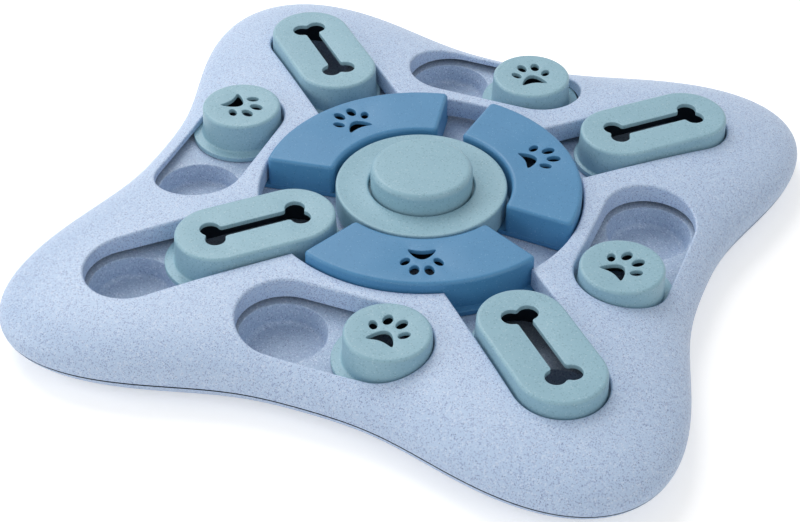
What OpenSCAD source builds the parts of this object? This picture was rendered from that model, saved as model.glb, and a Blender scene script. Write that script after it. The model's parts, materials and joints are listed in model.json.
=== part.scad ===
// Dog puzzle feeder: a pillow-shaped board with treat cups under sliding covers.
// Four round sliders and four bone-shaped sliders run in slots, three curved covers
// turn round a fixed hub, and the hub carries a squeaking push button.
// Millimetres, +Z up, origin on the table under the middle of the board.

/* [Board] */
// Width of the rim between a bone slot's end and the tip of its lobe
lobe_rim = 37.8; // [32:0.1:42]
// Width of the rim between a round slider's slot and the waist beside it
waist_rim = 14.3; // [12:0.1:18]
// How much the lobes are squared off
outline_pinch = 5.2; // [0:0.1:8]
// Height of the deck's crown above the table
deck_z = 33; // [31:0.1:38]
// Height of the board's widest line above the table
edge_z = 12.5; // [11:0.1:15]
// How full the deck's crown is: higher stays flat for longer
crown_power = 6.6; // [4:0.1:10]
// How full the underside's rim is
rim_power = 13; // [8:0.5:20]
// Height of the seam between the top shell and the base shell
seam_z = 8.8; // [7:0.1:10]
// Width of the shadow line at the seam
seam_gap = 0.5; // [0.3:0.1:1]
// Wall of the two board shells
shell_wall = 2.4; // [1.8:0.1:3.2]
// Thickness of the base shell's tongue, which stands inside the top shell
tongue_t = 1.8; // [1.2:0.1:2.4]
// Gap between the tongue and the top shell
tongue_fit = 0.4; // [0.2:0.1:0.8]

/* [Floor and slots] */
// Height of the floor that the sliders run on
floor_z = 20; // [19:0.1:21]
// Thickness of the floor tray
tray_wall = 2.2; // [1.6:0.1:3]
// Gap between the floor tray and the top shell all round
tray_fit = 0.6; // [0.3:0.1:1.5]
// Play of a bone slider across its slot
slot_fit = 1.2; // [0.8:0.1:2]
// Height of the undercut below the slot walls, for the slider flanges
undercut_h = 4.2; // [3.4:0.1:5]
// Wall thickness round each slot
slot_wall = 2; // [1.2:0.1:2.6]
// Width of the land between the ring channel and a round slider's slot
side_land = 7.7; // [6:0.1:10]
// How much further apart the end centres of a round slider's slot are than its cups
slot_overrun = 0.4; // [0:0.1:2]
// Play of a bone slider along its slot, outside the curved covers
bone_play = 3.2; // [2.4:0.1:5]
// Gap between the curved covers and the wall of the ring channel
ring_fit = 0.8; // [0.5:0.1:1.5]

/* [Treat cups] */
// Depth of a treat cup
cup_depth = 9; // [6:0.1:10]
// How much smaller a cup's mouth is all round than the slot's end above it
cup_inset = 0.6; // [0.2:0.1:2]
// How much a cup narrows to its floor
cup_taper = 1.5; // [0:0.1:3]
// Radius of the fillet at a cup's floor
cup_fillet = 2; // [1:0.1:3]
// Distance between the two cups of a round slider's slot
cup_pitch = 46; // [44:0.1:48]

/* [Sliders] */
// Height of a slider's top above the floor
slider_h = 15.8; // [14:0.1:18]
// Width of a bone slider
bone_w = 37.4; // [35:0.1:40]
// How much smaller a round slider is than the width of a bone slider
paw_ease = 0.6; // [0:0.1:1.5]
// Distance between the two end centres of a bone slider
bone_pitch = 35.2; // [34:0.1:37]
// How far a slider's flange stands out
flange_w = 3.8; // [3:0.1:4]
// Thickness of a flange
flange_t = 2.4; // [1.6:0.1:2.8]
// Gap under a slider
slide_gap = 0.25; // [0.2:0.05:0.4]
// Wall of the sliders and the curved covers
cover_wall = 2; // [1.4:0.1:2.6]
// Radius of the rounded top edges
cover_round = 1.8; // [0.8:0.1:2.4]
// Gap between a round slider and the end of its slot
paw_stop_gap = 0.3; // [0.1:0.1:1]
// How far the back round slider has been pushed from the end of its slot
paw_back_shift = 5.4; // [0:0.1:20]
// How far the front left bone slider has been pushed in over the ring channel
bone_front_shift = 39.9; // [0:0.1:40]

/* [Curved covers] */
// Width of a curved cover
arc_w = 31.2; // [28:0.1:34]
// Gap between the hub ring and the curved covers
arc_hub_gap = 2.2; // [1:0.1:4]
// Height of a curved cover's top above the floor
arc_h = 15.5; // [14:0.1:17]
// How far a curved cover's outer flange stands out
arc_flange_w = 3.2; // [2.4:0.1:3.8]
// Gap between the inner flange and the foot of the hub ring, which it runs round
arc_foot_gap = 0.5; // [0.3:0.1:1]
// Angle that a curved cover spans
arc_span = 87.8; // [80:0.1:88]
// Angle at which each curved cover starts
arc_start = [-3.5, 99.5, 247.2];

/* [Hub and button] */
// Width of the hub ring's top
hub_w = 14.7; // [13:0.1:17]
// Height of the hub ring's top above the floor
hub_h = 14.4; // [13:0.1:16]
// How far the hub ring's foot is undercut
hub_undercut = 1.6; // [1:0.1:2.4]
// Thickness of the hub ring's top
hub_top_t = 3; // [2:0.1:4]
// Radius of the push button
button_r = 23.2; // [21:0.1:26]
// Gap between the push button and the hub ring
button_fit = 0.9; // [0.5:0.1:1.5]
// Height of the button's top above the floor
button_h = 24.3; // [22:0.1:27]
// Radius of the button's rounded top edge
button_round = 3; // [1:0.1:4]
// How far the button can be pressed
button_travel = 8; // [5:0.1:9]
// Depth of the well under the button
well_depth = 10; // [8:0.1:11]

/* [Screws and feet] */
// Radius of the screws' shanks
screw_r = 1.5; // [1.2:0.1:1.8]
// Radius of the screws' heads
screw_head_r = 3.1; // [2.6:0.1:3.4]
// Clearance round a screw's shank
screw_fit = 0.05; // [0.02:0.01:0.1]
// How far inside the hub ring's foot its screws stand
hub_screw_inset = 3.2; // [2.8:0.1:4]
// How far to the side of the middle a shell screw stands
shell_screw_x = 58; // [56:0.5:60]
// How far outside the middle line of a round slider's slot a shell screw stands
shell_screw_out = 22; // [20:0.5:24]
// Radius of a rubber foot
foot_r = 10; // [7:0.1:11]
// How far a foot stands below the base
foot_stand = 1.5; // [1:0.1:2]
// How deep a foot is let into the base
foot_inset = 1; // [0.6:0.1:1.4]
// How far outside the middle of a lobe's cup its foot stands
foot_out = 1.7; // [-10:0.1:4]

/* [Hidden] */

shell_colour = [0.71, 0.77, 0.88];
slider_colour = [0.63, 0.76, 0.80];
arc_colour = [0.42, 0.61, 0.76];

eps = 0.01;
outline_step = 3.75;
rim_h = edge_z;
lip_z = floor_z + undercut_h;
tray_bottom = floor_z - tray_wall;
slide_z = floor_z + slide_gap;
base_inner_z = foot_stand + shell_wall;
well_z = floor_z - well_depth;
hub_top_z = floor_z + hub_h;

// From the button outwards: hub ring, curved covers, ring channel, slots, outline
hub_hole_r = button_r + button_fit;
hub_r = hub_hole_r + hub_w;
hub_foot_r = hub_r - hub_undercut;
hub_screw_circle = hub_foot_r - hub_screw_inset;
arc_inner_flange_r = hub_foot_r + arc_foot_gap;
arc_inner_r = hub_r + arc_hub_gap;
arc_r = arc_inner_r + arc_w;
arc_flange_r = arc_r + arc_flange_w;
ring_r = arc_r + ring_fit;
bone_r = bone_w / 2;
paw_r = (bone_w - paw_ease) / 2;
slot_w = bone_w + slot_fit;
slot_r = slot_w / 2;
cup_r = slot_r - cup_inset;
paw_slot_pitch = cup_pitch + slot_overrun;
paw_slot_line = ring_r + side_land + slot_r;
bone_slot_end = arc_flange_r + bone_play + flange_w + bone_r + bone_pitch;
waist_r = paw_slot_line + slot_r + waist_rim;
lobe_r = bone_slot_end + slot_r + lobe_rim;
outline_mean = (lobe_r + waist_r) / 2 - outline_pinch;
outline_swing = (lobe_r - waist_r) / 2;
shell_screw_y = paw_slot_line + shell_screw_out;
foot_circle = bone_slot_end + foot_out;

// Where the sliders stand at rest: the round ones from the front, the bones from the front right
paw_stop = paw_slot_pitch / 2 + slot_r - paw_r - paw_stop_gap;
paw_rest = [paw_stop, -paw_stop, paw_back_shift - paw_stop, -paw_stop];
bone_end_gap = 0.1;
bone_stop = bone_slot_end - bone_pitch / 2 - bone_end_gap;
bone_rest = [bone_stop, bone_stop, bone_stop, bone_stop - bone_front_shift];

hub_lip_w = 5.4;
hub_cavity_r = hub_hole_r + hub_lip_w;
hub_under_z = slide_z + flange_t + 0.55;
well_r = hub_hole_r - 0.1;
flange_room = 1.4;
button_flange_z = hub_top_z - hub_top_t - 0.4;
button_stop_gap = 0.2;
bellows_rise = 10;
bellows_top = floor_z + bellows_rise;
bellows_r = 16;
bellows_inner_r = 12.5;
plunger_gap = 0.3;
reed_r = 4.6;
reed_fit = 0.4;
reed_collar_t = 1;
reed_drop = 4.5;
reed_rise = 5;
bone_hole_spread = 5;
screw_head_h = 2.2;
screw_seat_z = 10;
screw_bite = 5;
hub_screw_bite = 7;
pilot_spare = 0.8;
shank_room = 0.3;
boss_r = 5;
pillar_r = 4;
foot_fit = 0.1;

// ---- outline and crown ----

// Radius of the board's outline in one direction
function outline_r(a) = outline_mean - outline_swing * cos(4 * a) + outline_pinch * cos(8 * a);

// Share of the outline that the crown keeps at one height, and the same for the rim below
function crown_share(z, top) = pow(1 - pow((z - edge_z) / (top - edge_z), 2), 1 / crown_power);
function rim_share(z) = pow(1 - pow((edge_z - z) / rim_h, 2), 1 / rim_power);

// One ring of the board at height z, drawn in by inset
function board_ring(share, z, inset) =
    [for (a = [0:outline_step:360 - outline_step])
        let (r = outline_r(a) * share - inset) [r * cos(a), r * sin(a), z]];

// Rings from the lowest height up to the widest line, and from there over the crown
function rim_rings(low, inset) =
    [for (k = [0:3]) let (z = low + (edge_z - low) * k / 4) board_ring(rim_share(z), z, inset)];
function crown_rings(top, inset) =
    [for (a = [0, 12, 24, 36, 48, 60, 71, 80, 87.7])
        board_ring(pow(cos(a), 2 / crown_power), edge_z + (top - edge_z) * sin(a), inset)];

// A closed solid through a stack of rings
module loft(rings) {
    n = len(rings[0]);
    m = len(rings);
    points = [for (ring = rings) each ring];
    sides = [for (k = [0:m - 2]) for (i = [0:n - 1])
        let (a = k * n + i, b = k * n + (i + 1) % n)
        each [[a, a + n, b + n], [a, b + n, b]]];
    bottom = [[for (i = [0:n - 1]) i]];
    top = [[for (i = [n - 1:-1:0]) (m - 1) * n + i]];
    polyhedron(points, concat(sides, bottom, top), convexity = 6);
}

// The board's full form from the height low to the crown, drawn in by inset
module board_form(low, inset, drop = 0) {
    loft(concat(rim_rings(low, inset), crown_rings(deck_z - drop, inset)));
}

// ---- slots ----

module round_ended(pitch, r, h) {
    for (side = [-1, 1]) translate([side * pitch / 2, 0, 0]) cylinder(r = r, h = h, $fn = 96);
    translate([-pitch / 2, -r, 0]) cube([pitch, 2 * r, h]);
}

// Places for the four sides, starting with the front, and for the four lobes
module on_side(k) rotate([0, 0, 90 * k]) translate([0, -paw_slot_line, 0]) children();
module on_lobe(k) rotate([0, 0, 90 * k - 45]) children();

// All slots and the ring channel as one cutter, grown by grow
module slots(grow, z, h) {
    translate([0, 0, z]) {
        for (k = [0:3]) on_side(k) round_ended(paw_slot_pitch, slot_r + grow, h);
        for (k = [0:3]) on_lobe(k) {
            translate([bone_slot_end, 0, 0]) cylinder(r = slot_r + grow, h = h, $fn = 96);
            translate([0, -slot_r - grow, 0]) cube([bone_slot_end, slot_w + 2 * grow, h]);
        }
        cylinder(r = ring_r + grow, h = h, $fn = 180);
    }
}

module at_shell_screws() {
    for (k = [0:3]) rotate([0, 0, 90 * k]) for (side = [-1, 1])
        translate([side * shell_screw_x, -shell_screw_y, 0]) children();
}

module at_hub_screws() {
    for (k = [0:3]) rotate([0, 0, 90 * k]) translate([hub_screw_circle, 0, 0]) children();
}

module at_feet() {
    for (k = [0:3]) on_lobe(k) translate([foot_circle, 0, 0]) children();
}

// ---- board shells ----

module top_shell() {
    color(shell_colour) difference() {
        board_form(seam_z + seam_gap, 0);
        difference() {
            board_form(seam_z + seam_gap - eps, shell_wall, shell_wall);
            slots(slot_wall, lip_z, deck_z);
            at_shell_screws() translate([0, 0, floor_z]) cylinder(r = pillar_r, h = deck_z, $fn = 48);
        }
        slots(0, floor_z, deck_z);
        at_shell_screws() translate([0, 0, floor_z - eps])
            cylinder(r = screw_r + screw_fit, h = screw_bite + pilot_spare, $fn = 32);
    }
}

module cup_cutter() {
    floor_r = cup_r - cup_taper;
    rotate_extrude($fn = 96) polygon(concat(
        [[0, -cup_depth]],
        [for (a = [-90:22.5:0]) [floor_r - cup_fillet + cup_fillet * cos(a),
                                 -cup_depth + cup_fillet + cup_fillet * sin(a)]],
        [[cup_r, 0], [cup_r, 1], [0, 1]]));
}

module cup_body() {
    translate([0, 0, -cup_depth - tray_wall])
        cylinder(r1 = cup_r - cup_taper + tray_wall - cup_fillet / 2, r2 = cup_r + tray_wall,
                 h = cup_depth + tray_wall, $fn = 96);
}

module at_cups() {
    for (k = [0:3]) on_side(k) for (side = [-1, 1])
        translate([side * cup_pitch / 2, 0, floor_z]) children();
    for (k = [0:3]) on_lobe(k) translate([bone_slot_end, 0, floor_z]) children();
}

module floor_tray() {
    share = crown_share(floor_z, deck_z - shell_wall);
    tray_r = [for (a = [0:outline_step:360 - outline_step])
        let (r = outline_r(a) * share - shell_wall - tray_fit) [r * cos(a), r * sin(a)]];
    color(shell_colour) difference() {
        union() {
            translate([0, 0, tray_bottom]) linear_extrude(tray_wall) polygon(tray_r);
            at_cups() cup_body();
            translate([0, 0, well_z - tray_wall])
                cylinder(r = well_r + tray_wall, h = well_depth + tray_wall - eps, $fn = 128);
        }
        at_cups() cup_cutter();
        translate([0, 0, well_z]) cylinder(r = well_r, h = well_depth + 1, $fn = 128);
        translate([0, 0, well_z - tray_wall - 1])
            cylinder(r = reed_r + reed_fit, h = tray_wall + 2, $fn = 48);
        at_shell_screws() translate([0, 0, tray_bottom - 1])
            cylinder(r = screw_r + shank_room, h = tray_wall + 2, $fn = 32);
        at_hub_screws() translate([0, 0, tray_bottom - 1])
            cylinder(r = screw_r + screw_fit, h = tray_wall + 2, $fn = 32);
    }
}

// The base's rings from one height to another, close together where the bottom edge rounds in
function base_rings(low, high, inset) = [for (k = [0:4])
    let (z = low + (high - low) * (1 - cos(90 * k / 4))) board_ring(rim_share(z), z, inset)];
function reversed(list) = [for (k = [len(list) - 1:-1:0]) list[k]];

// Dish whose rim steps in at the seam and goes on above it as a tongue. Its rings run
// up the outside, over the tongue and down the inside to the floor.
module base_shell() {
    tongue_in = shell_wall + tongue_fit;
    color(shell_colour) difference() {
        union() {
            loft(concat(base_rings(foot_stand, seam_z, 0), base_rings(seam_z, edge_z, tongue_in),
                        reversed(base_rings(base_inner_z, edge_z, tongue_in + tongue_t))));
            at_shell_screws() translate([0, 0, base_inner_z - eps])
                cylinder(r = boss_r, h = tray_bottom - base_inner_z + eps, $fn = 48);
        }
        at_shell_screws() {
            cylinder(r = screw_head_r + shank_room, h = screw_seat_z, $fn = 48);
            cylinder(r = screw_r + shank_room, h = deck_z, $fn = 32);
        }
        at_feet() cylinder(r = foot_r + foot_fit, h = foot_stand + foot_inset, $fn = 64);
    }
}

// ---- sliders and curved covers ----

// Half section of a cover: body of radius r and height h, with its flange, edges rounded
function cover_section(r, h, flange) = concat(
    [[0, 0], [r + flange - 0.5, 0], [r + flange, 0.5], [r + flange, flange_t - 0.8],
     [r + flange - 0.8, flange_t], [r + 0.8, flange_t], [r, flange_t + 0.8]],
    [for (a = [0:22.5:90]) [r - cover_round + cover_round * cos(a),
                            h - cover_round + cover_round * sin(a)]],
    [[0, h]]);

// Half section of the hollow under a cover
function hollow_section(r, h) = [[0, -1], [r - cover_wall, -1], [r - cover_wall, h - cover_wall - 1],
                                 [r - cover_wall - 1, h - cover_wall], [0, h - cover_wall]];

// A round-ended solid along X from a half section
module round_ended_solid(section, pitch) {
    for (side = [0, 180]) rotate([0, 0, side]) translate([pitch / 2, 0, 0])
        rotate([0, 0, -90]) rotate_extrude(angle = 180, $fn = 72) polygon(section);
    rotate([90, 0, 90]) linear_extrude(pitch, center = true) {
        polygon(section);
        mirror([1, 0]) polygon(section);
    }
}

// Paw cut-out: a pad with a hollow lower edge, and four oval toes above it
module paw_hole(h) {
    pad = [for (a = [0:10:350]) [5.5 * cos(a) * (1 - 0.22 * sin(a)),
                                 3.4 * sin(a) - 1.7 * cos(2 * a) - 3.2]];
    toes = [[-7.1, 1.6, 28], [-2.8, 6, 8], [2.8, 6, -8], [7.1, 1.6, -28]];
    linear_extrude(h) polygon(pad);
    for (toe = toes) translate([toe[0], toe[1], 0]) rotate([0, 0, toe[2]])
        linear_extrude(h) polygon([for (a = [0:15:345]) [1.9 * cos(a), 2.9 * sin(a)]]);
}

// Bone cut-out along X: a bar with two round knobs at each end
module bone_hole(h) {
    bar_w = 4.6;
    knob_r = 3.7;
    knob_pitch = 6.6;
    hole_pitch = bone_pitch + bone_hole_spread;
    translate([-hole_pitch / 2, -bar_w / 2, 0]) cube([hole_pitch, bar_w, h]);
    for (x = [-1, 1], y = [-1, 1]) translate([x * hole_pitch / 2, y * knob_pitch / 2, 0])
        cylinder(r = knob_r, h = h, $fn = 48);
}

// A round slider on its side, turned so that the paw's toes point along paw_angle
module paw_slider(k, paw_angle) {
    h = slider_h - slide_gap;
    color(slider_colour) on_side(k) translate([paw_rest[k], 0, slide_z]) difference() {
        rotate_extrude($fn = 96) polygon(cover_section(paw_r, h, flange_w));
        rotate_extrude($fn = 96) polygon(hollow_section(paw_r, h));
        rotate([0, 0, paw_angle - 90 - 90 * k]) translate([0, 0, h / 2]) paw_hole(h);
    }
}

module bone_slider(k) {
    h = slider_h - slide_gap;
    color(slider_colour) on_lobe(k) translate([bone_rest[k], 0, slide_z]) difference() {
        round_ended_solid(cover_section(bone_r, h, flange_w), bone_pitch);
        round_ended_solid(hollow_section(bone_r, h), bone_pitch);
        translate([0, 0, h / 2]) bone_hole(h);
    }
}

// A curved cover: flanged at its outer and inner foot, hollow below, with a paw in the middle
module arc_cover(k) {
    h = arc_h - slide_gap;
    mid_r = (arc_r + arc_inner_r) / 2;
    inset = asin(cover_wall / arc_inner_r);
    outer = [[arc_inner_flange_r, 0], [arc_flange_r, 0], [arc_flange_r, flange_t - 0.6],
             [arc_flange_r - 0.6, flange_t], [arc_r, flange_t],
             each [for (a = [0:22.5:90]) [arc_r - cover_round + cover_round * cos(a),
                                          h - cover_round + cover_round * sin(a)]],
             each [for (a = [90:22.5:180]) [arc_inner_r + cover_round + cover_round * cos(a),
                                            h - cover_round + cover_round * sin(a)]],
             [arc_inner_r, flange_t], [arc_inner_flange_r, flange_t]];
    hollow = [[arc_inner_r + cover_wall, -1], [arc_r - cover_wall, -1],
              [arc_r - cover_wall, h - cover_wall], [arc_inner_r + cover_wall, h - cover_wall]];
    color(arc_colour) translate([0, 0, slide_z]) rotate([0, 0, arc_start[k]]) difference() {
        rotate_extrude(angle = arc_span, $fn = 180) polygon(outer);
        rotate([0, 0, inset]) rotate_extrude(angle = arc_span - 2 * inset, $fn = 180) polygon(hollow);
        rotate([0, 0, arc_span / 2]) translate([mid_r, 0, h / 2]) rotate([0, 0, -90]) paw_hole(h);
    }
}

// ---- hub, button and squeaker ----

module hub_ring() {
    color(slider_colour) difference() {
        rotate_extrude($fn = 180) polygon([
            [hub_cavity_r, floor_z], [hub_foot_r, floor_z], [hub_foot_r, hub_under_z],
            [hub_r, hub_under_z], [hub_r, hub_top_z - 1], [hub_r - 0.3, hub_top_z - 0.3],
            [hub_r - 1, hub_top_z], [hub_hole_r + 0.6, hub_top_z], [hub_hole_r, hub_top_z - 0.6],
            [hub_hole_r, hub_top_z - hub_top_t], [hub_cavity_r, hub_top_z - hub_top_t]]);
        at_hub_screws() translate([0, 0, floor_z - eps])
            cylinder(r = screw_r + screw_fit, h = hub_screw_bite + pilot_spare, $fn = 32);
    }
}

// Cap with a flange that the hub ring holds down, and a plunger over the bellows.
// Fully pressed, the flange stops on the tray beside the well.
module centre_button() {
    top = floor_z + button_h;
    low = floor_z + button_travel + button_stop_gap;
    wall = 2.2;
    plunger_r = 7;
    flange_r = hub_cavity_r - flange_room;
    color(slider_colour) rotate_extrude($fn = 128) polygon(concat(
        [[0, bellows_top + plunger_gap], [plunger_r, bellows_top + plunger_gap], [plunger_r, top - wall],
         [button_r - wall, top - wall], [button_r - wall, low], [flange_r, low],
         [flange_r, button_flange_z], [button_r, button_flange_z]],
        [for (a = [0:15:90]) [button_r - button_round + button_round * cos(a),
                              top - button_round + button_round * sin(a)]],
        [[0, top]]));
}

// Folded rubber bulb that springs the button up and blows through the reed
module squeaker_bellows() {
    folds = 5;
    skin = 1;
    skin_across = 1.4 * skin;
    neck_r = reed_r + reed_fit;
    neck_h = 1.5 * skin;
    fold_h = (bellows_top - well_z - 2 * skin) / folds;
    outline = [for (k = [0:folds - 1]) each [[bellows_inner_r, well_z + skin + k * fold_h],
                                              [bellows_r, well_z + skin + (k + 0.5) * fold_h]]];
    last = len(outline) - 1;
    color("dimgray") rotate_extrude($fn = 72) polygon(concat(
        [[neck_r, well_z], [bellows_inner_r, well_z]], outline,
        [[bellows_inner_r, bellows_top - skin], [bellows_inner_r - skin, bellows_top], [0, bellows_top],
         [0, bellows_top - skin], [bellows_inner_r - 2 * skin, bellows_top - skin_across]],
        [for (k = [last:-1:1]) [outline[k][0] - skin_across, outline[k][1]]],
        [[bellows_inner_r - skin_across, well_z + neck_h], [neck_r, well_z + neck_h]]));
}

// Hard plastic reed through the floor of the well, its collar on the neck of the bellows
module squeaker_reed() {
    bore_r = 1.2;
    tip_r = reed_r - 1;
    collar_r = reed_r + 3;
    collar_z = well_z + 1.6;
    color("whitesmoke") rotate_extrude($fn = 48) polygon([
        [bore_r, well_z - reed_drop], [tip_r, well_z - reed_drop], [reed_r, well_z - reed_drop + 1.5],
        [reed_r, collar_z], [collar_r, collar_z], [collar_r, collar_z + reed_collar_t],
        [tip_r, collar_z + reed_collar_t], [tip_r, well_z + reed_rise], [bore_r, well_z + reed_rise]]);
}

// ---- screws and feet ----

// One pan-head screw, its head's underside at z = 0 and its shank pointing up
module screw(length) {
    shank_end = length - 1.5;
    difference() {
        rotate_extrude($fn = 32) polygon([
            [0, -screw_head_h], [screw_head_r - 0.8, -screw_head_h], [screw_head_r, -screw_head_h + 0.8],
            [screw_head_r, 0], [screw_r, 0], [screw_r, shank_end], [0.4, length], [0, length]]);
        for (turn = [0, 90]) rotate([0, 0, turn]) translate([-1.8, -0.45, -screw_head_h - 1])
            cube([3.6, 0.9, 2.1]);
    }
}

module shell_screws() {
    color("silver") at_shell_screws() translate([0, 0, screw_seat_z])
        screw(floor_z + screw_bite - screw_seat_z);
}

module hub_screws() {
    color("silver") at_hub_screws() translate([0, 0, tray_bottom]) screw(tray_wall + hub_screw_bite);
}

module rubber_feet() {
    top = foot_stand + foot_inset;
    color("dimgray") at_feet() rotate_extrude($fn = 64)
        polygon([[0, 0], [foot_r - 0.8, 0], [foot_r, 0.8], [foot_r, top], [0, top]]);
}

top_shell();
floor_tray();
base_shell();
hub_ring();
centre_button();
squeaker_bellows();
squeaker_reed();
shell_screws();
hub_screws();
rubber_feet();
paw_slider(0, 88);  // paw_slider_front
paw_slider(1, 67);  // paw_slider_right
paw_slider(2, 128);  // paw_slider_back
paw_slider(3, -22);  // paw_slider_left
bone_slider(0);  // bone_slider_front_right
bone_slider(1);  // bone_slider_back_right
bone_slider(2);  // bone_slider_back_left
bone_slider(3);  // bone_slider_front_left
arc_cover(0);  // arc_cover_right
arc_cover(1);  // arc_cover_back
arc_cover(2);  // arc_cover_front
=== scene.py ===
import json
from math import asin, atan2, cos, hypot, pi, radians, sin, sqrt

import bmesh
import bpy
from mathutils import Matrix, Vector
from mathutils.geometry import delaunay_2d_cdt


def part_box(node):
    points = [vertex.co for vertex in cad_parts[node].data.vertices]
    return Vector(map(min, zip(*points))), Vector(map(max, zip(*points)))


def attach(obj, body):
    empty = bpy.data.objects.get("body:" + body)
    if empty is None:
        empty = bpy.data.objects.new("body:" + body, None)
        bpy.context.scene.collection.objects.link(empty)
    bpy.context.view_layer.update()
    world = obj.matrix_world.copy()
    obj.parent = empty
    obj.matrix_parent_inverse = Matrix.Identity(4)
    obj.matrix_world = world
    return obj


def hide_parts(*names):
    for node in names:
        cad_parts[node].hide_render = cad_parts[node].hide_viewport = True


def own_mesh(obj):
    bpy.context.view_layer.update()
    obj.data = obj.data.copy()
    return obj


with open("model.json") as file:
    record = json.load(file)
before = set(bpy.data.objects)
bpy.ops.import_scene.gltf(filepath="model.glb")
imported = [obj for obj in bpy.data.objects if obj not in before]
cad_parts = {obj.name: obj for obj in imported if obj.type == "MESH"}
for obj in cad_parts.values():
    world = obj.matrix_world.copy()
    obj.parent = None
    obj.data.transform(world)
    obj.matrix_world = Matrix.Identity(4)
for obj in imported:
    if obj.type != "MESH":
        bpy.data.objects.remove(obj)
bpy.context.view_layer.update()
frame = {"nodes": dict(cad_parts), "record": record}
scene = bpy.context.scene
mm = 0.001
print("frame loaded:", len(frame["nodes"]), "nodes")

# How near two points may lie: in millimetres while outlines are filled, in metres in a mesh
near = {"fill": 1e-7, "doubles": 2e-6, "slivers": 1e-7}


class Skin:  # points in millimetres and the faces between them
    def __init__(self):
        self.points = []
        self.faces = []
        self.paints = []

    def paint(self, which):  # the faces that follow take this material
        self.paints.append((len(self.faces), which))

    def ring(self, points):
        start = len(self.points)
        self.points += [tuple(p) for p in points]
        return list(range(start, start + len(points)))

    def band(self, one, other):
        n = len(one)
        for i in range(n):
            j = (i + 1) % n
            self.faces.append((one[i], one[j], other[j], other[i]))

    def stack(self, rings):
        placed = [self.ring(r) for r in rings]
        for one, other in zip(placed, placed[1:]):
            self.band(one, other)
        return placed

    def lid(self, ring):
        self.faces.append(tuple(ring))


def ringArea(points):  # above nought where the ring runs anticlockwise
    return sum(p[0] * q[1] - q[0] * p[1] for p, q in zip(points, points[1:] + points[:1])) / 2


# Fills the plane between one outer ring and any holes, through loose spots whose height is given
def fillBetween(skin, outer, holes, spots=(), height=None):
    if ringArea([skin.points[i] for i in outer]) < 0:
        outer = outer[::-1]
    rings = [outer] + holes
    ids = [i for ring in rings for i in ring]
    flat = [Vector(skin.points[i][:2]) for i in ids] + [Vector(p) for p in spots]
    ids += skin.ring([(x, y, height(x, y)) for x, y in spots])
    fences, start = [], 0
    for ring in rings:
        n = len(ring)
        fences += [(start + i, start + (i + 1) % n) for i in range(n)]
        start += n
    found = delaunay_2d_cdt(flat, fences, [], 1, near["fill"])  # 1: only what the fences hold in
    crossings = [tuple(found[0][i]) for i, came in enumerate(found[3]) if not came]
    if crossings:
        raise ValueError("outlines cross at " + str(crossings[:4]))
    spotOf = [came[0] for came in found[3]]
    triangles = []
    for face in found[2]:
        a, b, c = (spotOf[v] for v in face)
        turn = (flat[b] - flat[a]).cross(flat[c] - flat[a])
        triangles.append((a, b, c) if turn > 0 else (a, c, b))
    beside = {}
    for t, (a, b, c) in enumerate(triangles):
        for edge in ((a, b), (b, c), (c, a)):
            beside[edge] = t
    walls = {frozenset(edge) for edge in fences}
    todo, kept = [beside[(0, 1)]], set()
    while todo:
        t = todo.pop()
        if t in kept:
            continue
        kept.add(t)
        a, b, c = triangles[t]
        for edge in ((a, b), (b, c), (c, a)):
            across = beside.get((edge[1], edge[0]))
            if across is not None and frozenset(edge) not in walls:
                todo.append(across)
    skin.faces += [tuple(ids[v] for v in triangles[t]) for t in sorted(kept)]


def circle(x, y, z, r, count):
    return [(x + r * cos(2 * pi * i / count), y + r * sin(2 * pi * i / count), z) for i in range(count)]


# Rings turned about an upright axis at x, y, from a list of (radius, height)
def turned(x, y, profile, count):
    return [circle(x, y, z, r, count) for r, z in profile]


# Angles from nought to a whole in degrees, both ends with them
def sweep(whole, steps):
    return [radians(whole) * i / steps for i in range(steps + 1)]


# Round from one direction in degrees to another, as (across, up) steps
def quarter(x, z, r, fromAngle, toAngle, steps):
    angles = [radians(fromAngle) + a for a in sweep(toAngle - fromAngle, steps)]
    return [(x + r * cos(a), z + r * sin(a)) for a in angles]


# The mesh of a skin, its doubles merged and its faces outwards; an open skin is turned to face up
def meshFrom(name, skin, facingUp=False):
    mesh = bpy.data.meshes.new(name)
    mesh.from_pydata([(x * mm, y * mm, z * mm) for x, y, z in skin.points], [], skin.faces)
    for start, which in skin.paints:
        for i in range(start, len(skin.faces)):
            mesh.polygons[i].material_index = which
    bm = bmesh.new()
    bm.from_mesh(mesh)
    bmesh.ops.remove_doubles(bm, verts=bm.verts, dist=near["doubles"])
    if not facingUp:
        bmesh.ops.dissolve_degenerate(bm, edges=bm.edges, dist=near["slivers"])
    bmesh.ops.recalc_face_normals(bm, faces=bm.faces)
    if facingUp and sum(f.normal.z * f.calc_area() for f in bm.faces) < 0:
        bmesh.ops.reverse_faces(bm, faces=bm.faces)
    loose = [v for v in bm.verts if not v.link_faces]
    bmesh.ops.delete(bm, geom=loose, context="VERTS")
    bm.to_mesh(mesh)
    bm.free()
    return mesh


# The mesh that an object's modifiers make of it; the object itself is taken away
def finishedMesh(blank, name):
    bpy.context.view_layer.update()
    mesh = bpy.data.meshes.new_from_object(blank.evaluated_get(bpy.context.evaluated_depsgraph_get()))
    bpy.data.objects.remove(blank)
    mesh.name = name
    return mesh


def place(name, mesh, material, body, nodes, inside=None, sharpAngle=35):
    mesh.polygons.foreach_set("use_smooth", [True] * len(mesh.polygons))
    mesh.set_sharp_from_angle(angle=radians(sharpAngle))
    piece = bpy.data.objects.new(name, mesh)
    scene.collection.objects.link(piece)
    painted = [face.material_index for face in mesh.polygons]
    mesh.materials.clear()
    mesh.materials.append(material)
    # inside: the painted shade material, for the faces painted 1
    if inside:
        mesh.materials.append(inside)
        mesh.polygons.foreach_set("material_index", painted)
    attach(piece, body)
    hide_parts(*nodes)
    return piece


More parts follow.
